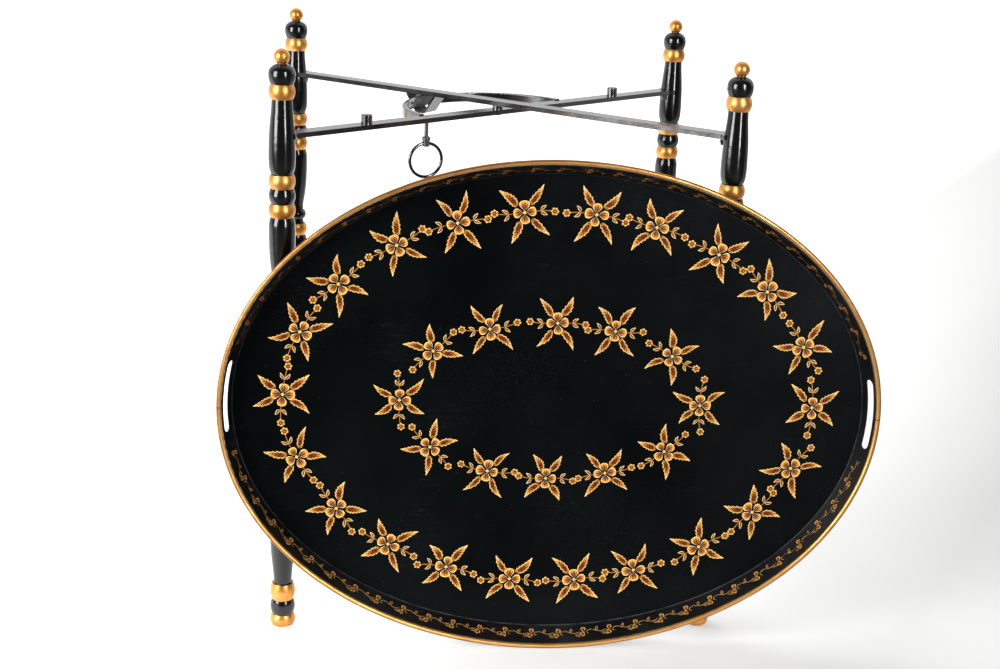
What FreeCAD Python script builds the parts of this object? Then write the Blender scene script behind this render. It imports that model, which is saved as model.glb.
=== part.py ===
import FreeCAD, Part
import math
import os

# Painted oval tray with its folding stand, in millimetres.
# Frame: origin on the floor under the middle of the whole object, +Z up,
# +X along the tray's long axis, -Y towards the tray's painted face.
# The stand's own centre lies at (STAND_X, STAND_Y).

# ---- stand: two post pairs, crossed and pinned at the middle
STAND_X = -50.1
STAND_Y = 24.07
HEIGHT = 610.0
POST_SPAN_X = 448.0
POST_SPAN_Y = 348.6
HALF_DIAGONAL = math.hypot(POST_SPAN_X, POST_SPAN_Y) / 2
OPEN_ANGLE = math.degrees(math.atan2(POST_SPAN_Y, POST_SPAN_X))

# ---- flat iron bars
BAR_WIDTH = 17.5
BAR_THICK = 5.0
UPPER_BAR_TOP = 537.6
BAR_GAP = 4.4
LOWER_BAR_TOP = UPPER_BAR_TOP - BAR_THICK - BAR_GAP
STRETCHER_TOP = 132.0
LOW_STRETCHER_TOP = STRETCHER_TOP - BAR_THICK - BAR_GAP
SADDLE_WALL = 2.0
SADDLE_ANGLE = 58.0
LUG_DROP = 6.6
LUG_ANGLE = 17.0
SCREW_DROP = 3.5
SCREW_RADIUS = 1.6
SCREW_LENGTH = 11.0
SCREW_BLIND = 4.0
SCREW_HEAD_RADIUS = 2.4
SCREW_HEAD_HIGH = 1.6
SCREW_HEAD_ROUND = 1.1
RIVET_RADIUS = 3.0
RIVET_HEAD_RADIUS = 4.2
RIVET_HEAD_HIGH = 2.0
RIVET_HEAD_ROUND = 1.6
RUNNING_GAP = 0.05
SPACER_RADIUS = 5.6
BAR_PAST_CENTRE = 2.0
TRIM_BLOCK = 80.0

# ---- centre fittings
HOOP_RADIUS = 100.4
HOOP_WIDE = 6.0
HOOP_HIGH = 10.0
HOOP_TOP = 529.4
HOOP_ROUND = 0.8
PEG_REACH = 179.8
PEG_RADIUS = 5.8
PEG_SHANK_RADIUS = 3.0
PEG_ROUND = 1.0
STIRRUP_REACH = 96.0
STIRRUP_HALF_TOP = 20.0
STIRRUP_HALF_FOOT = 6.0
STIRRUP_DROP = 20.0
STIRRUP_THICK = 2.5
STIRRUP_WIDE = 21.0
STIRRUP_BEND = 3.0
TONGUE_RADIUS = 93.6
TONGUE_WIDE = 5.2
TONGUE_THICK = 2.4
TONGUE_ARC = 34.0

# ---- ring bolt and ring
BOLT_RADIUS = 2.15
BOLT_PROUD = 0.2
COLLAR_TOP = 507.0
COLLAR_HIGH = 4.0
COLLAR_RADIUS = 4.5
COLLAR_ROUND = 1.0
EYE_RADIUS = 3.8
EYE_LOW = 496.8
EYE_ROUND = 0.6
RING_AXIS_Z = 500.2
RING_RADIUS = 18.0
RING_WIRE = 1.8
RING_TURN = 20.0
EYE_HOLE = 2.05
EYE_MOUTH = 2.7
EYE_WAIST = 1.0

# ---- tray
FLOOR_A = 324.4
FLOOR_B = 241.7
RIM_A = 337.4
RIM_B = 257.6
TRAY_DEEP = 23.8
SHEET = 1.0
SEAM = 1.8
BEAD_RADIUS = 2.4
BEAD_BORE = 1.5
RIM_RINGS = 14
SLOT_LONG = 74.0
SLOT_HIGH = 9.8
SLOT_MIDDLE = 13.6
SLOT_REACH = 60.0
SLOT_RISE_LEFT = 9.3
SLOT_RISE_RIGHT = 3.0
HALF_GAP = 0.02
TRAY_LEAN = 3.2
TRAY_YAW = -0.747
TRAY_ROLL = -0.33
TRAY_SIDE = 50.2
TRAY_FRONT = -197.53

# ---- turned posts, from the foot up
FOOT_TOP = 12.6
LOW_BEAD_TOP = 29.7
LOW_BAND_TOP = 48.0
BAND_HIGH = 13.8
GROUP_FEET = (164.5, 310.0, 445.0)
GROUP_BEADS = (17.0, 16.8, 15.2)
CAP_BAND_FOOT = 561.6
CAP_BAND_TOP = 576.0
CAP_TOP = 595.0
BAND_RADIUS = 13.2
FOOT_RADIUS = 13.3
CAP_BAND_RADIUS = 12.9
BLACK_BEAD_RADIUS = 13.1
EDGE_ROUND = 2.0
BALL_RADIUS = 7.8
NECK_RADIUS = 4.5
NECK_PLUG = 8.0
NECK_TURNING = 9.2
WAIST_TURNING = 8.9

# how close two places must be to count as one
NEAR = 0.01

UP = FreeCAD.Vector(0, 0, 1)
POST_PLACES = {"fr": (1, -1), "bl": (-1, 1), "fl": (-1, -1), "br": (1, 1)}


def vec(x, y, z):
    return FreeCAD.Vector(x, y, z)


def rz(r, z):
    return FreeCAD.Vector(r, 0, z)


def barrel(foot, top, radius):
    """Outline of one turned band or bead: a shallow arc between two edges."""
    edge = radius - EDGE_ROUND
    middle = (foot + top) / 2
    return Part.Arc(rz(edge, foot), rz(radius, middle), rz(edge, top)).toShape()


def swell(points):
    """Outline of one turned swelling through its (height, radius) points."""
    curve = Part.BSplineCurve()
    curve.interpolate([rz(radius, height) for height, radius in points])
    return curve.toShape()


def stretch_out(points, foot, top):
    """Swelling points given from 0 at the foot to 1 at the top."""
    return [(foot + (top - foot) * t, radius) for t, radius in points]


# swellings as (part of the way up, radius)
LONG_BODY = [
    (0.27, 9.1), (0.37, 10.6), (0.52, 12.3), (0.74, 13.2), (0.88, 13.2), (0.955, 12.6), (1, 11.2),
]
SMALL_BEAD_FOOT = 0.06
SMALL_BEAD_TOP = 0.18
SMALL_BEAD_RADIUS = 12.0
SMALL_BEAD_EDGE = 9.5
FOOT_SWELL = [
    (0, 9.5), (0.1, 10.2), (0.21, 11.5), (0.4, 13.1),
    (0.6, 13.3), (0.82, 12.2), (0.95, 10.4), (1, 9.5),
]
TOP_SWELL = [
    (0, 10.4), (0.075, 12.5), (0.15, 13.1), (0.29, 13.2), (0.44, 12.9),
    (0.59, 12.4), (0.73, 11.5), (0.88, 10.5), (1, 10.0),
]
# the cap's outline as (height, radius)
CAP_SWELL = [
    (576.0, 11.2), (580.0, 12.6), (585.0, 13.1), (589.5, 12.3), (593.0, 9.4), (595.0, 5.4),
]


def long_section(foot, top):
    """A waisted length with a small bead near its foot, as between the middle groups of bands."""
    high = top - foot
    low = foot + SMALL_BEAD_FOOT * high
    crest = foot + SMALL_BEAD_TOP * high
    neck = Part.LineSegment(rz(NECK_TURNING, foot), rz(WAIST_TURNING, low)).toShape()
    middle = rz(SMALL_BEAD_RADIUS, (low + crest) / 2)
    small = Part.Arc(rz(SMALL_BEAD_EDGE, low), middle, rz(SMALL_BEAD_EDGE, crest)).toShape()
    body = swell(stretch_out([(SMALL_BEAD_TOP, WAIST_TURNING)] + LONG_BODY, foot, top))
    return [neck, small, body]


def band_group(foot, bead_high):
    """Gold band, black bead, gold band."""
    first = foot + BAND_HIGH
    second = first + bead_high
    third = second + BAND_HIGH
    bands = [
        barrel(foot, first, BAND_RADIUS),
        barrel(first, second, BLACK_BEAD_RADIUS),
        barrel(second, third, BAND_RADIUS),
    ]
    return bands, third


def post_outline():
    """All the outline's curves, foot to cap, in order."""
    curves = [
        barrel(0, FOOT_TOP, FOOT_RADIUS),
        barrel(FOOT_TOP, LOW_BEAD_TOP, BLACK_BEAD_RADIUS),
        barrel(LOW_BEAD_TOP, LOW_BAND_TOP, BAND_RADIUS),
    ]
    below = LOW_BAND_TOP
    for number, (foot, bead_high) in enumerate(zip(GROUP_FEET, GROUP_BEADS)):
        if number == 0:
            curves.append(swell(stretch_out(FOOT_SWELL, below, foot)))
        else:
            curves += long_section(below, foot)
        bands, below = band_group(foot, bead_high)
        curves += bands
    curves.append(swell(stretch_out(TOP_SWELL, below, CAP_BAND_FOOT)))
    curves.append(barrel(CAP_BAND_FOOT, CAP_BAND_TOP, CAP_BAND_RADIUS))
    curves.append(swell(CAP_SWELL))
    return curves


def lathe(curves):
    """Join an outline's curves with flat shoulders, close it on the axis and turn it."""
    edges = []
    last = rz(0, curves[0].Vertexes[0].Point.z)
    for curve in curves:
        start = curve.Vertexes[0].Point
        if start.distanceToPoint(last) > 1e-6:
            edges.append(Part.LineSegment(last, start).toShape())
        edges.append(curve)
        last = curve.Vertexes[-1].Point
    edges.append(Part.LineSegment(last, rz(0, last.z)).toShape())
    edges.append(Part.LineSegment(rz(0, last.z), rz(0, curves[0].Vertexes[0].Point.z)).toShape())
    face = Part.Face(Part.Wire(edges))
    return face.revolve(vec(0, 0, 0), UP, 360)


def along_bar(angle):
    """Unit vector from the pivot at an angle in plan."""
    return vec(math.cos(math.radians(angle)), math.sin(math.radians(angle)), 0)


def screw_place(angle, bar_low):
    """Where a lug's screw meets the post's axis."""
    return along_bar(angle) * HALF_DIAGONAL + UP * (bar_low - SCREW_DROP)


def screw_hole(angle, bar_low, radius=SCREW_RADIUS):
    outward = along_bar(angle)
    start = screw_place(angle, bar_low) - outward * (BAND_RADIUS + SADDLE_WALL + SCREW_BLIND)
    reach = SCREW_LENGTH + SADDLE_WALL
    return Part.makeCylinder(radius, reach, start, outward)


def bar_angles(first):
    return (first, first + 180)


def sector(radius, low, high, centre, angle, half_angle):
    """Pie slice of a cylinder that opens from its centre back towards the pivot."""
    piece = Part.makeCylinder(radius, high - low, vec(0, 0, low), UP, 2 * half_angle)
    piece.rotate(vec(0, 0, 0), UP, angle + 180 - half_angle)
    piece.translate(centre)
    return piece


def flat_bar(first_angle, top, post):
    """A flat bar between two posts, each end forged into a saddle with a lug for one screw."""
    low = top - BAR_THICK
    corner = vec(-HALF_DIAGONAL, -BAR_WIDTH / 2, low)
    bar = Part.makeBox(2 * HALF_DIAGONAL, BAR_WIDTH, BAR_THICK, corner)
    bar.rotate(vec(0, 0, 0), UP, first_angle)
    outer = BAND_RADIUS + SADDLE_WALL
    for angle in bar_angles(first_angle):
        centre = along_bar(angle) * HALF_DIAGONAL
        bar = bar.fuse(sector(outer, low, top, centre, angle, SADDLE_ANGLE))
        bar = bar.fuse(sector(outer, low - LUG_DROP, low, centre, angle, LUG_ANGLE))
    for angle in bar_angles(first_angle):
        core = post.copy()
        core.translate(along_bar(angle) * HALF_DIAGONAL)
        bar = bar.cut(core)
        corner = vec(HALF_DIAGONAL + BAR_PAST_CENTRE, -TRIM_BLOCK / 2, low - TRIM_BLOCK / 2)
        beyond = Part.makeBox(TRIM_BLOCK, TRIM_BLOCK, TRIM_BLOCK, corner)
        beyond.rotate(vec(0, 0, 0), UP, angle)
        bar = bar.cut(beyond)
        bar = bar.cut(screw_hole(angle, low))
    solids = sorted(bar.Solids, key=lambda solid: solid.Volume)
    return solids[-1]


def bar_screws(first_angles_and_tops):
    """Round-head wood screws, one through each lug into its post."""
    screws = []
    for first_angle, top in first_angles_and_tops:
        for angle in bar_angles(first_angle):
            outward = along_bar(angle)
            seat = screw_place(angle, top - BAR_THICK) - outward * (BAND_RADIUS + SADDLE_WALL)
            length = SCREW_LENGTH + SADDLE_WALL - SCREW_BLIND
            shank = Part.makeCylinder(SCREW_RADIUS, length, seat, outward)
            crown = seat - outward * SCREW_HEAD_HIGH
            head = Part.makeCylinder(SCREW_HEAD_RADIUS, SCREW_HEAD_HIGH, crown, outward)
            head = head.makeFillet(SCREW_HEAD_ROUND, circles_on(head, crown, outward))
            screws.append(shank.fuse(head))
    return Part.makeCompound(screws)


def circles_on(shape, point, normal):
    """The round edges of a shape that lie in one plane."""
    found = []
    for edge in shape.Edges:
        off_plane = abs((edge.CenterOfMass - point).dot(normal))
        if edge.Closed and off_plane < NEAR:
            found.append(edge)
    return found


def with_pivot_hole(bar, radius):
    return bar.cut(Part.makeCylinder(radius, HEIGHT))


def pivot_rivet(top):
    """Rivet flush in the upper bar, with a domed head under the lower one."""
    low = top - 2 * BAR_THICK - BAR_GAP
    shank = Part.makeCylinder(RIVET_RADIUS, top - low, vec(0, 0, low))
    head = Part.makeCylinder(RIVET_HEAD_RADIUS, RIVET_HEAD_HIGH, vec(0, 0, low - RIVET_HEAD_HIGH))
    foot = circles_on(head, vec(0, 0, low - RIVET_HEAD_HIGH), UP)
    return shank.fuse(head.makeFillet(RIVET_HEAD_ROUND, foot))


def pivot_spacer(top):
    """Washer that keeps the two crossed bars apart."""
    low = top - BAR_THICK - BAR_GAP
    ring = Part.makeCylinder(SPACER_RADIUS, BAR_GAP, vec(0, 0, low))
    return ring.cut(Part.makeCylinder(RIVET_RADIUS, BAR_GAP, vec(0, 0, low)))


def hoop(bar_angle):
    """Half ring about the pivot, both ends welded to the lower bar's far edge."""
    inner = HOOP_RADIUS - HOOP_WIDE / 2
    low = HOOP_TOP - HOOP_HIGH
    ring = Part.makeCylinder(inner + HOOP_WIDE, HOOP_HIGH, vec(0, 0, low), UP, 180)
    ring = ring.cut(Part.makeCylinder(inner, HOOP_HIGH, vec(0, 0, low)))
    keep_off = Part.makeBox(3 * HOOP_RADIUS, BAR_WIDTH, 3 * HOOP_HIGH)
    keep_off.translate(vec(-1.5 * HOOP_RADIUS, -BAR_WIDTH / 2, low - HOOP_HIGH))
    ring = ring.cut(keep_off)
    long_edges = [e for e in ring.Edges if e.BoundBox.ZLength < NEAR and e.Length > HOOP_RADIUS]
    ring = ring.makeFillet(HOOP_ROUND, long_edges)
    ring.rotate(vec(0, 0, 0), UP, bar_angle)
    return ring


def rest_pegs(bar_angle):
    """Studs riveted into the lower bar that bring the tray's rest level with the upper bar."""
    pegs = []
    for angle in bar_angles(bar_angle):
        place = along_bar(angle) * PEG_REACH
        low = LOWER_BAR_TOP - BAR_THICK
        shank = Part.makeCylinder(PEG_SHANK_RADIUS, BAR_THICK, place + UP * low)
        rise = UPPER_BAR_TOP - LOWER_BAR_TOP
        stud = Part.makeCylinder(PEG_RADIUS, rise, place + UP * LOWER_BAR_TOP)
        crown = circles_on(stud, vec(0, 0, UPPER_BAR_TOP), UP)
        pegs.append(stud.makeFillet(PEG_ROUND, crown).fuse(shank))
    return Part.makeCompound(pegs)


def peg_holes(bar, bar_angle):
    for angle in bar_angles(bar_angle):
        place = along_bar(angle) * PEG_REACH + UP * (LOWER_BAR_TOP - BAR_THICK)
        bar = bar.cut(Part.makeCylinder(PEG_SHANK_RADIUS, BAR_THICK, place))
    return bar


def stirrup(angle):
    """Hat-shaped strap under the upper bar that the hoop slides through."""
    top = UPPER_BAR_TOP - BAR_THICK
    foot = top - STIRRUP_DROP
    splay = STIRRUP_HALF_TOP - STIRRUP_HALF_FOOT
    slope = math.hypot(splay, STIRRUP_DROP) / STIRRUP_DROP
    across = STIRRUP_THICK * slope
    outline = [
        (STIRRUP_HALF_TOP, top),
        (STIRRUP_HALF_FOOT, foot),
        (-STIRRUP_HALF_FOOT, foot),
        (-STIRRUP_HALF_TOP, top),
        (-STIRRUP_HALF_TOP + across, top),
        (-STIRRUP_HALF_FOOT, foot + STIRRUP_THICK),
        (STIRRUP_HALF_FOOT, foot + STIRRUP_THICK),
        (STIRRUP_HALF_TOP - across, top),
    ]
    points = [vec(STIRRUP_REACH + along, -STIRRUP_WIDE / 2, high) for along, high in outline]
    face = Part.Face(Part.makePolygon(points + points[:1]))
    strap = face.extrude(vec(0, STIRRUP_WIDE, 0))
    across_low = [e for e in strap.Edges if e.CenterOfMass.z < foot + NEAR]
    bends = [e for e in across_low if e.Length > STIRRUP_WIDE - NEAR]
    strap = strap.makeFillet(STIRRUP_BEND, bends)
    strap.rotate(vec(0, 0, 0), UP, angle)
    return strap


def guide_tongue(angle):
    """Curved finger fixed under the upper bar, just inside the hoop."""
    top = UPPER_BAR_TOP - BAR_THICK
    low = top - TONGUE_THICK
    inner = TONGUE_RADIUS - TONGUE_WIDE / 2
    ring = Part.makeCylinder(inner + TONGUE_WIDE, TONGUE_THICK, vec(0, 0, low), UP, TONGUE_ARC)
    ring = ring.cut(Part.makeCylinder(inner, TONGUE_THICK, vec(0, 0, low)))
    tip = vec(TONGUE_RADIUS, 0, low)
    nose = Part.makeCylinder(TONGUE_WIDE / 2, TONGUE_THICK, tip)
    nose.rotate(vec(0, 0, 0), UP, TONGUE_ARC)
    finger = ring.fuse(nose)
    finger.rotate(vec(0, 0, 0), UP, angle)
    return finger.Solids[0]


def bolt_place(bar_angle):
    return along_bar(bar_angle + 180) * HOOP_RADIUS


def ring_bolt(bar_angle):
    """Shank through the lower bar, with a collar and a cross-bored eye at its foot."""
    length = LOWER_BAR_TOP + BOLT_PROUD - COLLAR_TOP
    shank = Part.makeCylinder(BOLT_RADIUS, length, vec(0, 0, COLLAR_TOP))
    collar = Part.makeCylinder(COLLAR_RADIUS, COLLAR_HIGH, vec(0, 0, COLLAR_TOP - COLLAR_HIGH))
    rims = [edge for edge in collar.Edges if edge.Closed]
    collar = collar.makeFillet(COLLAR_ROUND, rims)
    eye = Part.makeCylinder(EYE_RADIUS, COLLAR_TOP - COLLAR_HIGH - EYE_LOW, vec(0, 0, EYE_LOW))
    eye = eye.makeFillet(EYE_ROUND, circles_on(eye, vec(0, 0, EYE_LOW), UP))
    bolt = shank.fuse(collar).fuse(eye)
    start = vec(-EYE_RADIUS, 0, RING_AXIS_Z)
    bolt = bolt.cut(Part.makeCylinder(EYE_HOLE, 2 * EYE_RADIUS, start, vec(1, 0, 0)))
    for side in (-1, 1):
        start = vec(side * EYE_WAIST, 0, RING_AXIS_Z)
        depth = EYE_RADIUS - EYE_WAIST + NEAR
        bolt = bolt.cut(Part.makeCone(EYE_HOLE, EYE_MOUTH, depth, start, vec(side, 0, 0)))
    bolt.rotate(vec(0, 0, 0), UP, RING_TURN)
    bolt.translate(bolt_place(bar_angle))
    return bolt


def pull_ring(bar_angle):
    """Round wire ring hanging in the bolt's eye."""
    ring = Part.makeTorus(RING_RADIUS, RING_WIRE, vec(0, 0, 0), vec(0, 1, 0))
    ring.translate(vec(0, 0, RING_AXIS_Z - RING_RADIUS))
    ring.rotate(vec(0, 0, 0), UP, RING_TURN)
    ring.translate(bolt_place(bar_angle))
    return ring


def oval(a, b, z):
    """Closed oval wire, long axis along X."""
    return Part.Wire(Part.Ellipse(vec(0, 0, z), a, b).toShape())


def oval_cone(a_low, b_low, z_low, a_top, b_top, z_top):
    """Solid between two level ovals."""
    return Part.makeLoft([oval(a_low, b_low, z_low), oval(a_top, b_top, z_top)], True, True)


def half_space(side):
    """Everything above (1) or below (-1) the tray's long axis, with a hair left at the joint."""
    size = 4 * RIM_A
    start = HALF_GAP if side > 0 else -size - HALF_GAP
    corner = vec(-size / 2, start, -size / 2)
    return Part.makeBox(size, size, size, corner)


def tray_floor():
    """Flat oval pan, its edge folded over the gallery's foot."""
    return Part.Face(oval(FLOOR_A + SEAM, FLOOR_B + SEAM, -SHEET)).extrude(UP * SHEET)


def hand_slots():
    """Two long rounded slots through the gallery, a little above the ends of the long axis."""
    slots = []
    straight = SLOT_LONG - SLOT_HIGH
    for side, rise in ((-1, SLOT_RISE_LEFT), (1, SLOT_RISE_RIGHT)):
        start = side * RIM_A - SLOT_REACH / 2
        corner = vec(start, rise - straight / 2, SLOT_MIDDLE - SLOT_HIGH / 2)
        box = Part.makeBox(SLOT_REACH, straight, SLOT_HIGH, corner)
        for end in (-1, 1):
            centre = vec(start, rise + end * straight / 2, SLOT_MIDDLE)
            box = box.fuse(Part.makeCylinder(SLOT_HIGH / 2, SLOT_REACH, centre, vec(1, 0, 0)))
        slots.append(box)
    return slots


def bead(radius, side):
    """Round length of rim along half the oval, lofted through rings square to it."""
    a = RIM_A - BEAD_RADIUS
    b = RIM_B - BEAD_RADIUS
    rings = []
    for step in range(RIM_RINGS + 1):
        turn = side * math.pi * step / RIM_RINGS
        place = vec(a * math.cos(turn), b * math.sin(turn), TRAY_DEEP - BEAD_RADIUS)
        heading = vec(-a * math.sin(turn), b * math.cos(turn), 0)
        rings.append(Part.Wire(Part.Circle(place, heading, radius).toShape()))
    return Part.makeLoft(rings, True, False)


def gallery_half(side):
    """Flared sheet wall between the floor and the rolled rim, half of the oval."""
    rise = TRAY_DEEP - BEAD_RADIUS
    a_top = RIM_A - 2 * BEAD_RADIUS - RUNNING_GAP
    b_top = RIM_B - 2 * BEAD_RADIUS - RUNNING_GAP
    outer = oval_cone(FLOOR_A, FLOOR_B, 0, a_top, b_top, rise)
    a_in = FLOOR_A - SHEET
    b_in = FLOOR_B - SHEET
    inner = oval_cone(a_in, b_in, 0, a_top - SHEET, b_top - SHEET, rise)
    wall = outer.cut(inner).common(half_space(side))
    for slot in hand_slots():
        wall = wall.cut(slot)
    return wall


def rim_half(side):
    """Sheet rolled round the wire, half of the oval."""
    return bead(BEAD_RADIUS, side).cut(bead(BEAD_BORE, side)).common(half_space(side))


def rim_wire(side):
    return bead(BEAD_BORE, side).common(half_space(side))


def tray_placement():
    """Standing on its rim, turned and leaning back against the two front posts."""
    lean = math.radians(TRAY_LEAN)
    roll = math.radians(TRAY_ROLL)
    a = RIM_A - BEAD_RADIUS
    b = RIM_B - BEAD_RADIUS
    reach = math.hypot(a * math.sin(roll), b * math.cos(roll))
    centre_z = reach * math.cos(lean) + BEAD_RADIUS
    centre_z -= (TRAY_DEEP - BEAD_RADIUS) * math.sin(lean)
    turn = FreeCAD.Rotation(UP, TRAY_YAW)
    turn = turn.multiply(FreeCAD.Rotation(vec(1, 0, 0), 90 - TRAY_LEAN))
    turn = turn.multiply(FreeCAD.Rotation(UP, TRAY_ROLL))
    return FreeCAD.Placement(vec(TRAY_SIDE, TRAY_FRONT, centre_z), turn)


def tray_nodes():
    nodes = {"tray_floor": tray_floor()}
    for name, side in (("top", 1), ("bottom", -1)):
        nodes["gallery_" + name] = gallery_half(side)
        nodes["rim_" + name] = rim_half(side)
        nodes["rim_wire_" + name] = rim_wire(side)
    placement = tray_placement()
    for shape in nodes.values():
        shape.Placement = placement.multiply(shape.Placement)
    return nodes


def finial():
    """Turned ball on a peg that plugs into the cap."""
    ball = Part.makeSphere(BALL_RADIUS, vec(0, 0, HEIGHT - BALL_RADIUS))
    peg_foot = CAP_TOP - NECK_PLUG
    peg = Part.makeCylinder(NECK_RADIUS, HEIGHT - BALL_RADIUS - peg_foot, vec(0, 0, peg_foot))
    return ball.fuse(peg)


def post_nodes(turned):
    """Four posts with their screw holes, and their ball finials."""
    nodes = {}
    ball = finial()
    peg_hole = Part.makeCylinder(NECK_RADIUS, NECK_PLUG, vec(0, 0, CAP_TOP - NECK_PLUG))
    for name, (side_x, side_y) in POST_PLACES.items():
        angle = math.degrees(math.atan2(side_y * POST_SPAN_Y, side_x * POST_SPAN_X))
        upper = side_x * side_y < 0
        top = UPPER_BAR_TOP if upper else LOWER_BAR_TOP
        foot_top = STRETCHER_TOP if upper else LOW_STRETCHER_TOP
        place = vec(side_x * POST_SPAN_X / 2, side_y * POST_SPAN_Y / 2, 0)
        post = turned.cut(peg_hole)
        post.translate(place)
        for level in (top, foot_top):
            post = post.cut(screw_hole(angle, level - BAR_THICK))
        nodes["post_" + name] = post
        cap = ball.copy()
        cap.translate(place)
        nodes["finial_" + name] = cap
    return nodes


def stand_nodes():
    turned = lathe(post_outline())
    angle_a = -OPEN_ANGLE
    angle_b = OPEN_ANGLE
    loose = RIVET_RADIUS + RUNNING_GAP
    nodes = post_nodes(turned)
    for name, angle, top, bore in (
        ("upper_bar", angle_a, UPPER_BAR_TOP, RIVET_RADIUS),
        ("stretcher_a", angle_a, STRETCHER_TOP, RIVET_RADIUS),
        ("lower_bar", angle_b, LOWER_BAR_TOP, loose),
        ("stretcher_b", angle_b, LOW_STRETCHER_TOP, loose),
    ):
        nodes[name] = with_pivot_hole(flat_bar(angle, top, turned), bore)
    bolt_bore = Part.makeCylinder(BOLT_RADIUS + RUNNING_GAP, HEIGHT, bolt_place(angle_b))
    nodes["lower_bar"] = peg_holes(nodes["lower_bar"], angle_b).cut(bolt_bore)
    nodes["bar_screws_a"] = bar_screws([(angle_a, UPPER_BAR_TOP), (angle_a, STRETCHER_TOP)])
    nodes["bar_screws_b"] = bar_screws([(angle_b, LOWER_BAR_TOP), (angle_b, LOW_STRETCHER_TOP)])
    for name, top in (("upper", UPPER_BAR_TOP), ("lower", STRETCHER_TOP)):
        nodes["pivot_rivet_" + name] = pivot_rivet(top)
        nodes["pivot_spacer_" + name] = pivot_spacer(top)
    nodes["hoop"] = hoop(angle_b)
    nodes["rest_pegs"] = rest_pegs(angle_b)
    nodes["hoop_stirrup"] = stirrup(180 + angle_a)
    nodes["guide_tongue"] = guide_tongue(180 + angle_a)
    nodes["ring_bolt"] = ring_bolt(angle_b)
    nodes["pull_ring"] = pull_ring(angle_b)
    return nodes


os.makedirs("parts", exist_ok=True)
all_nodes = stand_nodes()
all_nodes.update(tray_nodes())
for node_name, node_shape in all_nodes.items():
    node_shape.translate(vec(STAND_X, STAND_Y, 0))
    node_shape.exportStep("parts/" + node_name + ".step")
    print(node_name, node_shape.isValid(), round(node_shape.Volume), node_shape.BoundBox)
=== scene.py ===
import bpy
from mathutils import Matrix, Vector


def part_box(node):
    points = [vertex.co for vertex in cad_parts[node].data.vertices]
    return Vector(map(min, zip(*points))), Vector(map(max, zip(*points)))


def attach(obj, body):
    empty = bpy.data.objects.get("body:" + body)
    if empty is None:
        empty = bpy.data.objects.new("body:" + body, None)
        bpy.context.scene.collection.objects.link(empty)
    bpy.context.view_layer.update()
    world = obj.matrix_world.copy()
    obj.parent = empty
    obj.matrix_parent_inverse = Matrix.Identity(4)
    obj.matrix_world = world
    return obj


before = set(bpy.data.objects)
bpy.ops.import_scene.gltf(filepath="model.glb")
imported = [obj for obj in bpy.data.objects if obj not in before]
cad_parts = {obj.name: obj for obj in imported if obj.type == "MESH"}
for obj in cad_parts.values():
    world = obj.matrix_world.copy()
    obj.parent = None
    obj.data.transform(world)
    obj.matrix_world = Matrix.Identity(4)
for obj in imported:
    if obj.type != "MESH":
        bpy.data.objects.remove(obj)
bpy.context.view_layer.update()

import math
import random

import bpy
from mathutils import Matrix, Vector

random.seed(1870)


# ---------------------------------------------------------------------------------------------
# The four posts. Turned hardwood, 26 mm thick, sprayed gloss black; the raised bands are then
# painted gold by hand, so their edges waver a little and the gold is rubbed and speckled.
GOLD_BANDS = [
    (-0.001, 0.0126), (0.0297, 0.048), (0.1645, 0.1783), (0.1953, 0.2091), (0.310, 0.3238),
    (0.3406, 0.3544), (0.445, 0.4588), (0.474, 0.4878), (0.5616, 0.576),
]
GOLD_PAINT = (0.76, 0.33, 0.075, 1)
GOLD_PAINT_DEEP = (0.52, 0.19, 0.035, 1)
GOLD_PAINT_PALE = (0.90, 0.46, 0.14, 1)
BLACK_GLOSS = (0.0035, 0.0037, 0.004, 1)

COLOUR_MIX_SOCKETS = (0, 6, 7)


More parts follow.
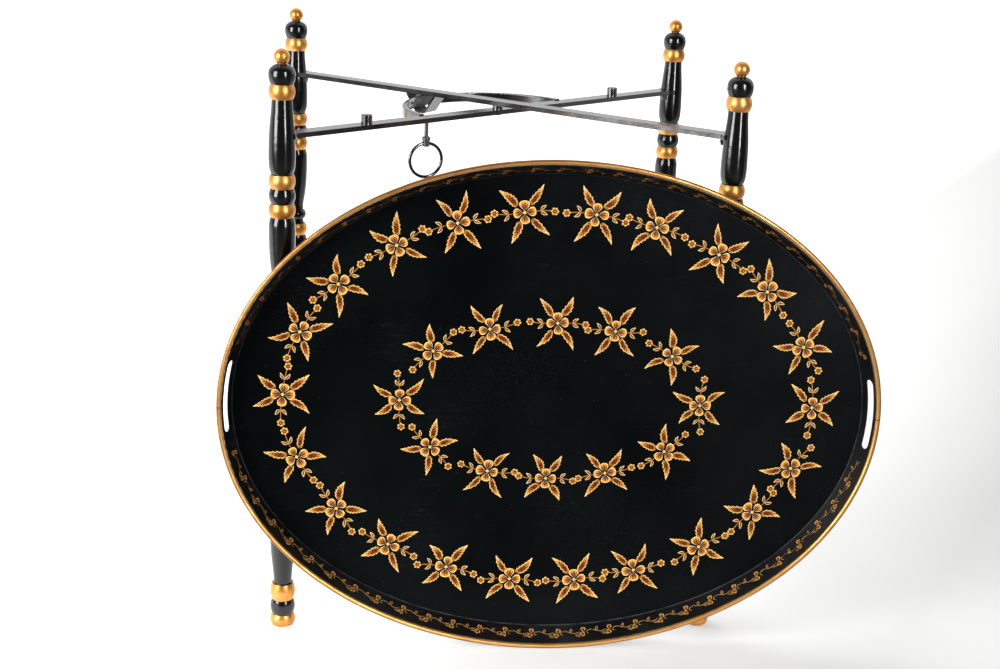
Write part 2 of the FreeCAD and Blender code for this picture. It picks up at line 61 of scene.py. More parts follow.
class Finish:
    """A material being mixed: its nodes, wired one by one."""

    def __init__(self, name):
        self.material = bpy.data.materials.new(name)
        self.material.use_nodes = True
        self.tree = self.material.node_tree
        self.shader = self.tree.nodes["Principled BSDF"]

    def add(self, kind, **settings):
        node = self.tree.nodes.new(kind)
        for key, value in settings.items():
            setattr(node, key, value)
        return node

    def wire(self, source, target):
        self.tree.links.new(source, target)

    def where(self):
        """Coordinates that move with the piece, in metres."""
        return self.add("ShaderNodeTexCoord").outputs["Object"]

    def mapped(self, source, scale=(1, 1, 1), place=(0, 0, 0), turn=(0, 0, 0), kind="POINT"):
        node = self.add("ShaderNodeMapping", vector_type=kind)
        node.inputs["Location"].default_value = place
        node.inputs["Rotation"].default_value = turn
        node.inputs["Scale"].default_value = scale
        self.wire(source, node.inputs["Vector"])
        return node.outputs["Vector"]

    def noise(self, source, scale, detail=3.0, rough=0.5, warp=0.0):
        node = self.add("ShaderNodeTexNoise")
        node.inputs["Scale"].default_value = scale
        node.inputs["Detail"].default_value = detail
        node.inputs["Roughness"].default_value = rough
        node.inputs["Distortion"].default_value = warp
        self.wire(source, node.inputs["Vector"])
        return node.outputs["Fac"]

    def cells(self, source, scale, feature="F1"):
        node = self.add("ShaderNodeTexVoronoi", feature=feature)
        node.inputs["Scale"].default_value = scale
        self.wire(source, node.inputs["Vector"])
        return node.outputs["Distance"]

    def math(self, operation, first, second=0.0, third=0.0):
        node = self.add("ShaderNodeMath", operation=operation)
        for socket, value in zip(node.inputs, (first, second, third)):
            if isinstance(value, (int, float)):
                socket.default_value = value
            else:
                self.wire(value, socket)
        return node.outputs[0]

    def ramp(self, source, stops):
        node = self.add("ShaderNodeValToRGB")
        elements = node.color_ramp.elements
        while len(elements) < len(stops):
            elements.new(0.5)
        for element, (place, colour) in zip(elements, stops):
            element.position = place
            grey = isinstance(colour, (int, float))
            element.color = (colour, colour, colour, 1) if grey else colour
        self.wire(source, node.inputs["Fac"])
        return node.outputs["Color"]

    def mix(self, amount, first, second):
        node = self.add("ShaderNodeMix", data_type="RGBA")
        ends = [node.inputs[number] for number in COLOUR_MIX_SOCKETS]
        for socket, value in zip(ends, (amount, first, second)):
            if isinstance(value, (int, float, tuple)):
                socket.default_value = value
            else:
                self.wire(value, socket)
        return node.outputs[2]

    def split(self, source):
        node = self.add("ShaderNodeSeparateXYZ")
        self.wire(source, node.inputs[0])
        return node.outputs

    def bump(self, height, strength, distance):
        node = self.add("ShaderNodeBump")
        node.inputs["Strength"].default_value = strength
        node.inputs["Distance"].default_value = distance
        self.wire(height, node.inputs["Height"])
        self.wire(node.outputs["Normal"], self.shader.inputs["Normal"])

    def set(self, **values):
        for key, value in values.items():
            socket = self.shader.inputs[key.replace("_", " ").title().replace("Ior", "IOR")]
            if isinstance(value, (int, float, tuple)):
                socket.default_value = value
            else:
                self.wire(value, socket)


def dress(nodes, material):
    """Give finished CAD pieces their material."""
    for name in nodes:
        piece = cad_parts[name]
        piece.data.materials.clear()
        piece.data.materials.append(material)


def post_finish():
    finish = Finish("black and gold post paint")
    where = finish.where()
    height = finish.split(where)[2]
    waver = finish.noise(where, 140.0, 2.0)
    level = finish.math("ADD", height, finish.math("MULTIPLY_ADD", waver, 0.0010, -0.0005))
    gold = 0.0
    for low, high in GOLD_BANDS:
        band = finish.math("COMPARE", level, (low + high) / 2, (high - low) / 2)
        gold = finish.math("ADD", gold, band)
    rubbed = finish.noise(where, 60.0, 5.0, 0.6)
    gilding = finish.ramp(rubbed, [(0.3, GOLD_PAINT_DEEP), (0.5, GOLD_PAINT), (0.8, GOLD_PAINT_PALE)])
    specks = finish.ramp(finish.cells(where, 210.0), [(0.05, 0.0), (0.09, 1.0)])
    gilding = finish.mix(specks, (0.26, 0.09, 0.025, 1), gilding)
    finish.set(base_color=finish.mix(gold, BLACK_GLOSS, gilding), ior=1.58)
    finish.set(metallic=finish.math("MULTIPLY", gold, 0.85))
    sheen = finish.ramp(rubbed, [(0.3, 0.12), (0.75, 0.19)])
    finish.set(roughness=finish.mix(gold, sheen, (0.36, 0.36, 0.36, 1)))
    finish.bump(finish.noise(where, 180.0, 3.0), 0.04, 0.0004)
    return finish.material


dress(["post_fr", "post_bl", "post_fl", "post_br"], post_finish())


# ---------------------------------------------------------------------------------------------
# The ball finials. Turned balls 16 mm across, gilded down to the short black neck that plugs
# them into the posts' caps 595 mm above the floor.
def ball_finish():
    finish = Finish("gold paint on turned balls")
    height = finish.split(finish.where())[2]
    ball = finish.math("GREATER_THAN", height, 0.5957)
    rubbed = finish.noise(finish.where(), 70.0, 4.0, 0.55)
    gilding = finish.ramp(rubbed, [(0.3, GOLD_PAINT_DEEP), (0.5, GOLD_PAINT), (0.8, GOLD_PAINT_PALE)])
    finish.set(base_color=finish.mix(ball, BLACK_GLOSS, gilding), roughness=0.36)
    finish.set(metallic=finish.math("MULTIPLY", ball, 0.85))
    finish.bump(finish.noise(finish.where(), 200.0, 3.0), 0.04, 0.0004)
    return finish.material


dress(["finial_fr", "finial_bl", "finial_fl", "finial_br"], ball_finish())


# ---------------------------------------------------------------------------------------------
# The flat iron bars and stretchers, 17.5 x 5 mm, and the small iron pieces on them. Forged,
# japanned black and stoved, with a close gloss that is a little uneven.
def iron_finish(name, colour, rough):
    finish = Finish(name)
    where = finish.where()
    blotches = finish.noise(where, 70.0, 5.0, 0.6)
    tone = finish.ramp(blotches, [(0.3, colour), (0.75, tuple(c * 2.2 for c in colour[:3]) + (1,))])
    finish.set(base_color=tone, ior=2.4)
    finish.set(roughness=finish.ramp(blotches, [(0.3, rough), (0.8, rough + 0.08)]))
    finish.bump(finish.noise(where, 260.0, 3.0), 0.04, 0.0003)
    return finish.material


black_iron = iron_finish("black japanned iron", (0.005, 0.005, 0.006, 1), 0.13)
dress([
    "upper_bar", "stretcher_a", "lower_bar", "stretcher_b", "hoop", "hoop_stirrup", "guide_tongue",
    "pivot_spacer_upper", "pivot_spacer_lower", "rest_pegs", "pull_ring",
], black_iron)
dress([
    "bar_screws_a", "bar_screws_b", "pivot_rivet_upper", "pivot_rivet_lower", "ring_bolt",
], iron_finish("worn black screws", (0.02, 0.02, 0.023, 1), 0.3))


# ---------------------------------------------------------------------------------------------
# The tray's floor: an oval sheet-iron pan, 649 x 483 mm, under several coats of black lacquer.
# The lacquer is satin, finely crazed, with hair scratches and a few pale specks; the wall carries
# grey-blue scuff patches that are partly wear and partly painted sheen, and a scuffed line along its foot.
LEAN = math.radians(3.2)
YAW = math.radians(-0.747)
ROLL = math.radians(-0.33)
SHEET = 0.001
FLOOR_A = 0.3244
FLOOR_B = 0.2417

tray_turn = (Matrix.Rotation(YAW, 3, "Z") @ Matrix.Rotation(math.pi / 2 - LEAN, 3, "X")
             @ Matrix.Rotation(ROLL, 3, "Z"))
floor_low, floor_high = (Vector(corner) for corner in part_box("tray_floor"))
tray_middle = (floor_low + floor_high) / 2 + tray_turn @ Vector((0, 0, SHEET / 2))
TRAY_EULER = tray_turn.to_euler()


def lacquer(name, black, rough, gloss, worn=0.0):
    finish = Finish(name)
    where = finish.where()
    clouds = finish.noise(where, 9.0, 4.0, 0.55)
    cracks = finish.cells(where, 240.0, "DISTANCE_TO_EDGE")
    lines = finish.ramp(cracks, [(0.0, 1.0), (0.03, 0.0)])
    patchy = finish.ramp(finish.noise(where, 7.0, 3.0), [(0.5, 0.0), (0.66, 1.0)])
    crazing = finish.mix(patchy, (0, 0, 0, 1), lines)
    specks = finish.ramp(finish.cells(where, 70.0), [(0.018, 1.0), (0.035, 0.0)])
    fine = finish.mapped(where, (1.0, 1.0, 14.0), turn=(0.3, 0.9, 0.4))
    scratches = finish.ramp(finish.noise(fine, 26.0, 2.0, 0.4), [(0.498, 0.0), (0.5, 1.0), (0.502, 0.0)])
    scratched = finish.ramp(finish.noise(where, 11.0, 2.0), [(0.56, 0.0), (0.66, 1.0)])
    scratches = finish.math("MULTIPLY", scratches, scratched)
    tone = finish.ramp(clouds, [(0.35, black), (0.75, tuple(c * 2.2 for c in black[:3]) + (1,))])
    tone = finish.mix(finish.math("MULTIPLY", crazing, 0.05), tone, (0.16, 0.18, 0.2, 1))
    tone = finish.mix(finish.math("MULTIPLY", specks, 0.22), tone, (0.35, 0.36, 0.36, 1))
    tone = finish.mix(finish.math("MULTIPLY", scratches, 0.09), tone, (0.30, 0.31, 0.33, 1))
    if worn:
        # Grey-blue patches on the wall: partly scuffs, partly painted sheen.
        scuffs_and_sheen = finish.ramp(finish.noise(where, 18.0, 6.0, 0.72), [(0.48, 0.0), (0.72, 0.55)])
        tone = finish.mix(scuffs_and_sheen, tone, (0.014, 0.016, 0.022, 1))
        tone = finish.mix(worn_foot(finish, where, worn), tone, (0.06, 0.062, 0.066, 1))
    finish.set(base_color=tone, specular_ior_level=gloss)
    finish.set(roughness=finish.ramp(clouds, [(0.3, rough), (0.8, rough + 0.12)]))
    height = finish.math("ADD", finish.math("MULTIPLY", crazing, -0.12), finish.noise(where, 30.0, 3.0))
    finish.bump(height, 0.08, 0.0006)
    return finish.material


def worn_foot(finish, where, amount):
    """The thin scuffed line where the wall meets the floor."""
    local = finish.mapped(where, place=tuple(tray_middle), turn=tuple(TRAY_EULER), kind="TEXTURE")
    rise = finish.split(local)[2]
    line = finish.ramp(finish.math("MULTIPLY", rise, 100.0), [(0.0, 1.0), (0.10, 0.8), (0.19, 0.0)])
    broken = finish.ramp(finish.noise(where, 60.0, 5.0, 0.7), [(0.35, 0.15), (0.6, 1.0)])
    return finish.math("MULTIPLY", finish.math("MULTIPLY", line, broken), amount)


floor_lacquer = lacquer("black lacquer on the tray floor", (0.0012, 0.0018, 0.0020, 1), 0.24, 0.08)
dress(["tray_floor"], floor_lacquer)
wall_lacquer = lacquer("black lacquer on the gallery", (0.0022, 0.0027, 0.0029, 1), 0.30, 0.40, 1.0)
dress(["gallery_top", "gallery_bottom"], wall_lacquer)


# ---------------------------------------------------------------------------------------------
# The rolled rim, 4.8 mm thick over an iron wire, gilded. The gilding has worn to brown streaks that run
# round the bead, with a few chips down to pale ground and a dark mark at each end, where the two halves
# meet. The outer side of the bead is coloured browner all round.
RIM_A = 0.3374
RIM_B = 0.2576
BEAD = 0.0048


def rim_finish():
    finish = Finish("worn gilding on the rim")
    local = finish.mapped(finish.where(), place=tuple(tray_middle), turn=tuple(TRAY_EULER), kind="TEXTURE")
    x, y, z = finish.split(local)
    around = finish.math("ARCTAN2", finish.math("MULTIPLY", y, 1.3), x)
    joined = finish.add("ShaderNodeCombineXYZ")
    finish.wire(finish.math("MULTIPLY", around, 0.3), joined.inputs[0])
    finish.wire(finish.math("MULTIPLY", z, 12.0), joined.inputs[1])
    streaks = finish.noise(joined.outputs[0], 40.0, 5.0, 0.6, 0.3)
    gilding = finish.ramp(streaks, [
        (0.25, (0.40, 0.15, 0.03, 1)), (0.40, (0.78, 0.36, 0.08, 1)), (0.7, (0.95, 0.55, 0.17, 1)),
    ])
    long_way = finish.math("MULTIPLY", x, 1 / (RIM_A - BEAD / 2))
    short_way = finish.math("MULTIPLY", y, 1 / (RIM_B - BEAD / 2))
    squares = finish.math("ADD", finish.math("POWER", finish.math("ABSOLUTE", long_way), 2.0),
                          finish.math("POWER", finish.math("ABSOLUTE", short_way), 2.0))
    outside = finish.ramp(finish.math("MULTIPLY_ADD", squares, 20.0, -19.5), [(0.48, 0.0), (0.62, 1.0)])
    # The outer side of the bead is made browner all round.
    outer_browning = finish.math("MULTIPLY", outside, finish.ramp(streaks, [(0.3, 0.95), (0.7, 0.7)]))
    gilding = finish.mix(outer_browning, gilding, (0.22, 0.08, 0.024, 1))
    seam = finish.math("MULTIPLY", finish.math("COMPARE", y, 0.0, 0.0006), 0.8)
    gilding = finish.mix(seam, gilding, (0.06, 0.025, 0.01, 1))
    chips = finish.ramp(finish.cells(finish.where(), 30.0), [(0.02, 1.0), (0.04, 0.0)])
    finish.set(base_color=finish.mix(chips, gilding, (0.6, 0.58, 0.52, 1)))
    finish.set(metallic=0.8)
    finish.set(roughness=finish.ramp(streaks, [(0.3, 0.42), (0.7, 0.30)]))
    finish.bump(streaks, 0.15, 0.0004)
    return finish.material


dress(["rim_top", "rim_bottom"], rim_finish())
dress(["rim_wire_top", "rim_wire_bottom"], iron_finish("drawn iron wire", (0.12, 0.12, 0.12, 1), 0.4))


# ---------------------------------------------------------------------------------------------
# The two garlands painted on the floor: 22 flowers on the outer oval and 12 on the inner one,
# each with four petals, four toothed leaves and two sprigs. Bronze powder and glaze brushed on
# in strokes a few hundredths of a millimetre thick, pale along the edges and rust in the middle.
PALE_GOLD = (1.0, 0.78, 0.34, 1)
OCHRE = (0.68, 0.275, 0.028, 1)
RUST = (0.15, 0.020, 0.004, 1)
DARK_RUST = (0.030, 0.006, 0.003, 1)
MID_OCHRE = (0.33, 0.085, 0.010, 1)
PAINT_SUNK = -0.00003
PAINT_THICK = 0.00013
OVAL_STEPS = 720


class Brushwork:
    """Strokes of paint, each a low cushion of paint with along and across coordinates."""

    def __init__(self, surface):
        self.surface = surface
        self.points = []
        self.strokes = []
        self.coordinates = []
        self.colours = []

    def stroke(self, rows, colour):
        """rows[i][j] is (x, y, lift, along, across); lift runs from 0 at the edge to 1 on top."""
        first = len(self.points)
        wide = len(rows[0])
        for row in rows:
            for x, y, lift, along, across in row:
                self.points.append(self.surface(x, y, PAINT_SUNK + PAINT_THICK * lift))
                self.coordinates.append((along, across))
        for i in range(len(rows) - 1):
            for j in range(wide - 1):
                corner = first + i * wide + j
                self.strokes.append((corner, corner + wide, corner + wide + 1, corner + 1))
                self.colours.append(colour)

    def piece(self, name, paints):
        mesh = bpy.data.meshes.new(name)
        mesh.from_pydata(self.points, [], self.strokes)
        layer = mesh.uv_layers.new(name="strokes")
        for loop in mesh.loops:
            layer.data[loop.index].uv = self.coordinates[loop.vertex_index]
        for paint in paints:
            mesh.materials.append(paint)
        for face, colour in zip(mesh.polygons, self.colours):
            face.material_index = colour
            face.use_smooth = True
        made = bpy.data.objects.new(name, mesh)
        bpy.context.collection.objects.link(made)
        return made


PETAL, LEAF, SPRIG, STEM, DOT, VINE = range(6)


def heading(turn):
    return Vector((math.cos(turn), math.sin(turn)))


def blade(brush, root, turn, length, width, colour, shape, bend=0.0, teeth=0, bite=0.0, steps=16, lanes=6):
    """One stroke from root outwards; shape(t) gives its width from 0 to 1 along it."""
    ahead = heading(turn)
    side = Vector((-ahead.y, ahead.x))
    rows = []
    for i in range(steps + 1):
        t = i / steps
        spine = root + ahead * (length * t) + side * (bend * length * math.sin(math.pi * t))
        row = []
        for j in range(lanes + 1):
            s = 2 * j / lanes - 1
            half = width / 2 * shape(t)
            if teeth:
                notch = (t * teeth + (0.5 if s > 0 else 0.0)) % 1.0
                half *= 1 - bite * (1 - notch) * min(1.0, 4 * t) * min(1.0, 5 * (1 - t))
            place = spine + side * (half * s)
            lift = min(1.0, 2.5 * (1 - abs(s))) * min(1.0, 6 * t, 8 * (1 - t))
            row.append((place.x, place.y, lift, t, (s + 1) / 2))
        rows.append(row)
    brush.stroke([list(reversed(row)) for row in rows], colour)


def leaf_shape(t):
    return math.sin(math.pi * t ** 0.72) * (1.0 - 0.28 * t) * 1.14 + 0.05 * (1 - t)


def petal_shape(t):
    return min(1.0, 1.9 * t ** 0.9) * (1.0 - max(0.0, (t - 0.62) / 0.38) ** 2.6) ** 0.5


def sprig_shape(t):
    return math.sin(math.pi * t ** 0.85) ** 0.9


def rosette(brush, centre, radius, turn, petals, depth, colour, around=36, rings=4):
    """A small round flower of several petals, painted as one dab."""
    rows = []
    for i in range(rings + 1):
        reach = i / rings
        row = []
        for j in range(around + 1):
            angle = 2 * math.pi * j / around
            full = abs(math.cos(petals * angle / 2))
            out = radius * reach * (1 - depth * reach * (1 - full))
            place = centre + heading(turn + angle) * out
            lift = 1.0 if i < rings else 0.0
            row.append((place.x, place.y, lift, reach, full))
        rows.append(row)
    brush.stroke(rows, colour)


def ribbon(brush, line, width, colour):
    """A thin line of paint through the points of line."""
    rows = []
    for i, place in enumerate(line):
        before = line[max(0, i - 1)]
        after = line[min(len(line) - 1, i + 1)]
        along = (after - before).normalized()
        side = Vector((-along.y, along.x))
        t = i / (len(line) - 1)
        half = width / 2 * min(1.0, 0.35 + 6 * t, 0.35 + 6 * (1 - t))
        row = []
        for s in (1, 0, -1):
            edge = place + side * (half * s)
            row.append((edge.x, edge.y, 1.0 - abs(s), t, (s + 1) / 2))
        rows.append(row)
    brush.stroke(rows, colour)


def along_oval(a, b, shares, middle=(0.0, 0.0)):
    """Places and headings at even shares of the way round an oval, from its right-hand end."""
    angles = [2 * math.pi * i / OVAL_STEPS for i in range(OVAL_STEPS + 1)]
    corners = [Vector((a * math.cos(angle), b * math.sin(angle))) for angle in angles]
    run = [0.0]
    for first, second in zip(corners, corners[1:]):
        run.append(run[-1] + (second - first).length)
    found = []
    for share in shares:
        target = (share % 1.0) * run[-1]
        i = next(k for k in range(OVAL_STEPS) if run[k + 1] >= target)
        part = (target - run[i]) / (run[i + 1] - run[i])
        place = corners[i].lerp(corners[i + 1], part) + Vector(middle)
        ahead = corners[i + 1] - corners[i]
        found.append((place, math.atan2(ahead.y, ahead.x)))
    return found, run[-1]


def wavering(amount):
    return random.uniform(-amount, amount)


def flower(brush, place, turn, size, gap):
    """Petals in a cross, four toothed leaves between them, and a sprig each way along the oval."""
    turn += wavering(0.16)
    for quarter in range(4):
        angle = turn + quarter * math.pi / 2 + wavering(0.10)
        root = place + heading(angle) * (0.0016 * size)
        long = (0.0104 + wavering(0.0008)) * size
        wide = (0.0104 + wavering(0.0009)) * size
        blade(brush, root, angle, long, wide, PETAL, petal_shape, steps=14, lanes=8)
        lean = math.radians(53) if quarter % 2 == 0 else math.radians(127)
        way = turn + lean + (math.pi if quarter > 1 else 0.0) + wavering(0.15)
        root = place + heading(way) * (0.0090 * size)
        long = (0.0240 + wavering(0.0026)) * size
        wide = (0.0092 + wavering(0.0010)) * size
        blade(brush, root, way + wavering(0.08), long, wide, LEAF, leaf_shape,
              bend=wavering(0.11), teeth=random.choice((5, 6, 7)), bite=0.34, steps=36)
    for way in (turn, turn + math.pi):
        sprig(brush, place, way, size, gap)
    rosette(brush, place, 0.0018 * size, turn, 5, 0.1, DOT, around=20, rings=3)


def sprig(brush, place, way, size, gap):
    """A curved stem with two small leaves and a rosette at its end."""
    reach = min(0.0300 * size, gap / 2 - 0.0036)
    sway = random.choice((-1, 1)) * (0.0018 + abs(wavering(0.0016)))
    start = 0.0112 * size
    ahead = heading(way)
    side = Vector((-ahead.y, ahead.x))
    line = []
    for i in range(9):
        t = i / 8
        line.append(place + ahead * (start + (reach - start) * t) + side * (sway * t * t))
    ribbon(brush, line, 0.0010, STEM)
    fork = line[2]
    for hand in (-1, 1):
        opening = way + hand * math.radians(40 + wavering(10))
        blade(brush, fork + side * (0.0003 * hand), opening, 0.0082 * size, 0.0034 * size,
              SPRIG, sprig_shape, bend=0.08 * hand, steps=12, lanes=6)
    rosette(brush, line[-1], 0.0043 * size, random.random() * 2, 6, 0.30, VINE)


def on_floor(x, y, lift):
    return tray_middle + tray_turn @ Vector((x, y, lift))


def stroke_finish(name):
    """A paint, with the way along its stroke, the way out from its middle, and its grain."""
    finish = Finish(name)
    uv = finish.add("ShaderNodeUVMap", uv_map="strokes").outputs["UV"]
    along, across, _ = finish.split(uv)
    outward = finish.math("ABSOLUTE", finish.math("MULTIPLY_ADD", across, 2.0, -1.0))
    grain = finish.noise(finish.where(), 800.0, 3.0, 0.6)
    finish.set(roughness=0.5, specular_ior_level=0.12)
    finish.bump(grain, 0.3, 0.0001)
    return finish, along, across, outward, grain


def paint(name, stops, streaks=0.0, slant=0.0, edge=None, edge_colour=PALE_GOLD, bronze=0.0):
    """Brushed paint: a blend along the stroke, feathered aslant, with a pale edge."""
    finish, along, across, outward, grain = stroke_finish(name)
    fleck = finish.math("MULTIPLY_ADD", grain, 0.40, -0.20)
    rows = finish.math("MULTIPLY", along, streaks)
    feather = finish.math("SINE", finish.math("MULTIPLY_ADD", outward, -slant, rows))
    blend = finish.math("ADD", finish.math("ADD", along, fleck), finish.math("MULTIPLY", feather, 0.16))
    body = finish.ramp(blend, stops)
    rim_way = finish.math("ADD", outward, finish.math("MULTIPLY", fleck, 0.5))
    if edge:
        body = finish.mix(finish.ramp(rim_way, [(edge[0], 0.0), (edge[1], 1.0)]), body, edge_colour)
    finish.set(base_color=body, metallic=bronze)
    return finish.material


def petal_paint():
    """Ochre, with a dark throat, three pale rays in it and a thin pale outline."""
    finish, along, across, outward, grain = stroke_finish("petal paint")
    fleck = finish.math("MULTIPLY_ADD", grain, 0.34, -0.17)
    rays = finish.math("SINE", finish.math("MULTIPLY", across, 25.0))
    throat = finish.math("ADD", along, finish.math("MULTIPLY", outward, 0.35))
    blend = finish.math("ADD", finish.math("ADD", throat, fleck), finish.math("MULTIPLY", rays, 0.09))
    body = finish.ramp(blend, [
        (0.12, OCHRE), (0.2, DARK_RUST), (0.52, RUST), (0.68, MID_OCHRE), (0.84, OCHRE),
        (1.0, (0.80, 0.40, 0.06, 1)),
    ])
    ray_place = finish.math("COMPARE", finish.math("ADD", along, fleck), 0.40, 0.16)
    ray_line = finish.ramp(finish.math("MULTIPLY_ADD", rays, 0.5, 0.5), [(0.84, 0.0), (0.97, 0.75)])
    body = finish.mix(finish.math("MULTIPLY", ray_place, ray_line), body, (0.42, 0.30, 0.20, 1))
    tip = finish.math("MULTIPLY", finish.math("MAXIMUM", finish.math("SUBTRACT", along, 0.5), 0.0), 1.94)
    out = finish.math("ADD", finish.math("MAXIMUM", outward, tip), finish.math("MULTIPLY", fleck, 0.35))
    finish.set(base_color=finish.mix(finish.ramp(out, [(0.72, 0.0), (0.82, 1.0)]), body, PALE_GOLD))
    return finish.material


def rosette_paint(bronze=0.0):
    """Small petals with pale outlines round a dark eye."""
    finish, reach, full, _, grain = stroke_finish("rosette paint")
    finish.set(metallic=bronze)
    fleck = finish.math("MULTIPLY_ADD", grain, 0.3, -0.15)
    body = finish.ramp(finish.math("ADD", reach, fleck), [
        (0.14, OCHRE), (0.22, DARK_RUST), (0.40, RUST), (0.56, OCHRE), (0.86, (0.82, 0.48, 0.13, 1)),
    ])
    gaps = finish.math("MULTIPLY", finish.ramp(full, [(0.12, 1.0), (0.36, 0.0)]),
                       finish.ramp(reach, [(0.15, 0.0), (0.35, 1.0), (0.9, 1.0), (1.0, 0.4)]))
    body = finish.mix(gaps, body, DARK_RUST)
    finish.set(base_color=finish.mix(finish.ramp(reach, [(0.82, 0.0), (0.92, 0.85)]), body, PALE_GOLD))
    return finish.material


paints = [
    petal_paint(),
    paint("leaf paint", [
        (0.0, OCHRE), (0.06, RUST), (0.42, (0.10, 0.012, 0.003, 1)), (0.58, MID_OCHRE), (0.72, OCHRE),
        (0.94, PALE_GOLD),
    ], streaks=52.0, slant=9.0, edge=(0.50, 0.84), edge_colour=(0.95, 0.62, 0.18, 1)),
    paint("sprig leaf paint", [
        (0.0, OCHRE), (0.2, RUST), (0.7, MID_OCHRE), (0.95, PALE_GOLD),
    ], edge=(0.50, 0.70)),
    paint("stem paint", [(0.0, (0.40, 0.15, 0.025, 1)), (1.0, (0.55, 0.22, 0.035, 1))]),
    paint("flower eye paint", [(0.0, (0.86, 0.42, 0.05, 1)), (0.8, (0.92, 0.62, 0.18, 1))]),
    rosette_paint(),
]

GARLANDS = (
    ("garland_outer", 0.2722, 0.1965, 22, 1.0),
    ("garland_inner", 0.1545, 0.0828, 12, 0.95),
)
for name, a, b, count, size in GARLANDS:
    brush = Brushwork(on_floor)
    shares = [(number + wavering(0.05)) / count for number in range(count)]
    places, way_round = along_oval(a, b, shares, (-0.001, 0.006))
    for place, turn in places:
        flower(brush, place, turn, size, way_round / count)
    garland = brush.piece(name, paints)
    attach(garland, "tray")


# ---------------------------------------------------------------------------------------------
# The vine round the inside of the gallery: one line of small blooms, curls and leaves, repeated
# every 28 mm in thinner, duller gold than the floor's. It stops short of the two hand slots.
GALLERY_RISE = 0.0214
VINE_REPEAT = 0.0278
VINE_LEVEL = 0.0112

WALL_STEPS = 400
WALL_A = FLOOR_A + 0.003
WALL_B = FLOOR_B + 0.004

wall_places, wall_round = along_oval(WALL_A, WALL_B, [i / WALL_STEPS for i in range(WALL_STEPS)])
wall_angles = [math.atan2(place.y / WALL_B, place.x / WALL_A) for place, _ in wall_places]


def on_gallery(run, up, lift):
    """run is the distance round the wall, up the distance up its slope."""
    step = run / wall_round * WALL_STEPS
    low = int(math.floor(step))
    first = wall_angles[low % WALL_STEPS]
    swing = (wall_angles[(low + 1) % WALL_STEPS] - first) % (2 * math.pi)
    angle = first + swing * (step - low)
    high = up * 0.92
    flare_a = (RIM_A - BEAD - FLOOR_A) / GALLERY_RISE
    flare_b = (RIM_B - BEAD - FLOOR_B) / GALLERY_RISE
    a = FLOOR_A - SHEET + flare_a * high
    b = FLOOR_B - SHEET + flare_b * high
    facing = Vector((-math.cos(angle) * b, -math.sin(angle) * a, 0)).normalized()
    flare = math.hypot(flare_a * math.cos(angle), flare_b * math.sin(angle))
    facing = (facing + Vector((0, 0, flare))).normalized()
    inside = Vector((a * math.cos(angle), b * math.sin(angle), high)) + facing * lift
    return tray_middle + tray_turn @ inside


def vine_repeat(brush, start, repeat):
    """One bloom pair, a curl, the winding stem and its small leaves."""
    level = VINE_LEVEL + wavering(0.0004)

    def at(along, up):
        return Vector((start + along, level + up))

    rosette(brush, at(0.0022, 0.0032), 0.0034, random.random() * 6, 3, 0.30, VINE, around=24, rings=4)
    blade(brush, at(0.0034, 0.0008), -math.pi / 2 + 0.2 + wavering(0.25), 0.0064, 0.0056,
          PETAL, petal_shape, steps=10, lanes=6)
    curl = []
    for i in range(12):
        angle = math.radians(100 + 215 * i / 11)
        curl.append(at(0.0096, 0.0007) + Vector((0.0027 * math.cos(angle), 0.0023 * math.sin(angle))))
    ribbon(brush, curl, 0.0008, STEM)
    stem = []
    for i in range(13):
        t = i / 12
        sway = 0.0021 * math.sin(2 * math.pi * (0.62 * t - 0.12)) + 0.0009 * t
        stem.append(at(0.0112 + (repeat - 0.0112) * t, -0.0011 + sway))
    ribbon(brush, stem, 0.0008, STEM)
    blade(brush, stem[4], -math.pi / 2 + 0.5 + wavering(0.3), 0.0058, 0.0033,
          SPRIG, sprig_shape, steps=8, lanes=4)
    blade(brush, stem[8] + Vector((0.0, 0.0012)), 0.35 + wavering(0.3), 0.0062, 0.0033,
          SPRIG, sprig_shape, steps=8, lanes=4)


vine = Brushwork(on_gallery)
repeats = round(wall_round / VINE_REPEAT)
SLOT_REACH = 0.045
SLOT_MIDDLES = (0.003, wall_round / 2 - 0.009, wall_round + 0.003)
for number in range(repeats):
    start = (number + 0.25) * wall_round / repeats
    from_slot = min(abs(start + VINE_REPEAT / 2 - middle) for middle in SLOT_MIDDLES)
    if from_slot > SLOT_REACH + VINE_REPEAT / 3:
        vine_repeat(vine, start, wall_round / repeats)
BRONZE = 0.45
gallery_vine = vine.piece("gallery_vine", [
    paint("vine bloom paint", [
        (0.0, OCHRE), (0.18, RUST), (0.55, (0.26, 0.04, 0.008, 1)), (0.8, OCHRE),
    ], edge=(0.50, 0.68), edge_colour=(0.88, 0.58, 0.20, 1), bronze=BRONZE),
    paints[LEAF],
    paint("vine leaf paint", [
        (0.0, OCHRE), (0.25, RUST), (0.75, MID_OCHRE), (0.95, OCHRE),
    ], edge=(0.46, 0.68), edge_colour=(0.82, 0.52, 0.17, 1), bronze=BRONZE),
    paint("vine stem paint", [(0.0, (0.66, 0.40, 0.11, 1)), (1.0, (0.76, 0.50, 0.16, 1))],
          bronze=BRONZE),
    paints[DOT],
    rosette_paint(BRONZE),
])
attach(gallery_vine, "tray")


# ---------------------------------------------------------------------------------------------
# A floor with painted light and shade: it glows white behind the piece and pale grey beside it, and its
# colour is painted dark in front of it as painted shade; a room that is dark in front, a tall softbox on
# each side, and the camera.
FLOOR_REACH = 14.0


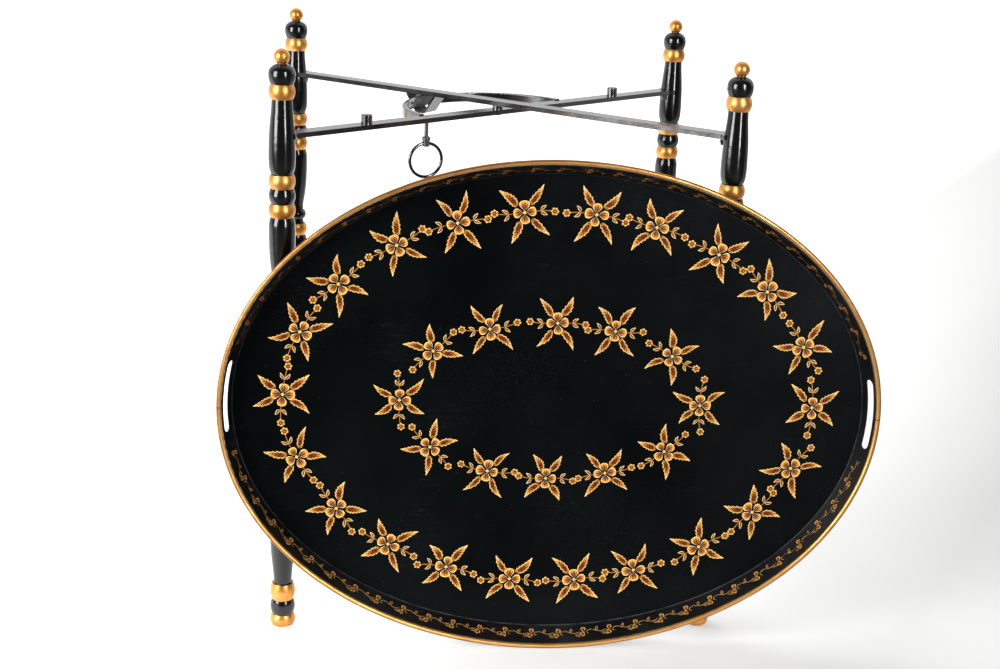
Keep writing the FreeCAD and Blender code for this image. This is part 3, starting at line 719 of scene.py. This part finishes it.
def pale_floor():
    finish = Finish("studio floor")
    where = finish.where()
    x, y, _ = finish.split(where)
    clouds = finish.noise(where, 3.0)
    white = finish.ramp(clouds, [(0.3, (0.60, 0.60, 0.59, 1)), (0.7, (0.62, 0.62, 0.61, 1))])
    # Painted shade: the floor's colour turns dark grey in front of the piece.
    lit = finish.ramp(finish.math("ADD", y, 1.0), [(0.62, 0.0), (0.70, 1.0)])
    finish.set(base_color=finish.mix(lit, (0.09, 0.09, 0.09, 1), white))
    finish.set(roughness=0.6, specular_ior_level=0.2)
    # Painted light: emission that grows towards the back and the left makes the floor glow.
    back = finish.math("MULTIPLY_ADD", y, 0.64, finish.math("MULTIPLY_ADD", x, -0.96, 0.5))
    glow = finish.ramp(back, [(0.0, 0.03), (0.3, 0.34), (0.5, 0.45), (0.64, 0.5), (0.8, 1.0)])
    finish.set(emission_color=finish.mix(lit, (0, 0, 0, 1), glow))
    finish.shader.inputs["Emission Strength"].default_value = 1.0
    mesh = bpy.data.meshes.new("studio_floor")
    corners = [(-FLOOR_REACH, -FLOOR_REACH, 0), (FLOOR_REACH, -FLOOR_REACH, 0),
               (FLOOR_REACH, FLOOR_REACH, 0), (-FLOOR_REACH, FLOOR_REACH, 0)]
    mesh.from_pydata(corners, [], [(0, 1, 2, 3)])
    mesh.materials.append(finish.material)
    ground = bpy.data.objects.new("studio_floor", mesh)
    bpy.context.collection.objects.link(ground)


def studio_world():
    world = bpy.data.worlds.new("studio")
    bpy.context.scene.world = world
    world.use_nodes = True
    tree = world.node_tree
    sky = tree.nodes["Background"]
    place = tree.nodes.new("ShaderNodeTexCoord")
    parts = tree.nodes.new("ShaderNodeSeparateXYZ")
    ramp = tree.nodes.new("ShaderNodeValToRGB")
    tree.links.new(place.outputs["Generated"], parts.inputs[0])
    shift = tree.nodes.new("ShaderNodeMath")
    shift.operation = "MULTIPLY_ADD"
    for number in (1, 2):
        shift.inputs[number].default_value = 0.5
    tree.links.new(parts.outputs[1], shift.inputs[0])
    tree.links.new(shift.outputs[0], ramp.inputs["Fac"])
    front, back = ramp.color_ramp.elements
    front.position = 0.44
    front.color = (0.03, 0.03, 0.032, 1)
    back.position = 0.66
    back.color = (1.0, 1.0, 1.0, 1)
    tree.links.new(ramp.outputs["Color"], sky.inputs["Color"])
    sky.inputs["Strength"].default_value = 1.0


def softbox(name, place, aim, wide, high, watts, mirrored=True):
    light = bpy.data.lights.new(name, "AREA")
    light.shape = "RECTANGLE"
    light.size = wide
    light.size_y = high
    light.energy = watts
    lamp = bpy.data.objects.new(name, light)
    bpy.context.collection.objects.link(lamp)
    lamp.location = place
    lamp.rotation_euler = (Vector(aim) - Vector(place)).to_track_quat("-Z", "Y").to_euler()
    lamp.visible_camera = False
    lamp.visible_glossy = mirrored


pale_floor()
studio_world()
softbox("left softbox", (-1.9, -1.3, 0.95), (0, 0, 0.35), 1.0, 1.5, 62)
softbox("right softbox", (0.95, -1.9, 1.0), (0, 0, 0.35), 0.30, 1.5, 34)
softbox("overhead softbox", (-0.7, 0.5, 2.3), (0, 0, 0.2), 1.6, 1.6, 44, False)

camera_data = bpy.data.cameras.new("camera")
camera_data.lens = 57.387
camera_data.sensor_width = 36.0
camera = bpy.data.objects.new("camera", camera_data)
bpy.context.collection.objects.link(camera)
camera.location = (-0.19985, -1.69462, 0.81704)
camera.rotation_euler = tuple(math.radians(turn) for turn in (72.4248, -2.2792, -4.6874))
bpy.context.scene.camera = camera
bpy.context.scene.view_settings.view_transform = "Standard"
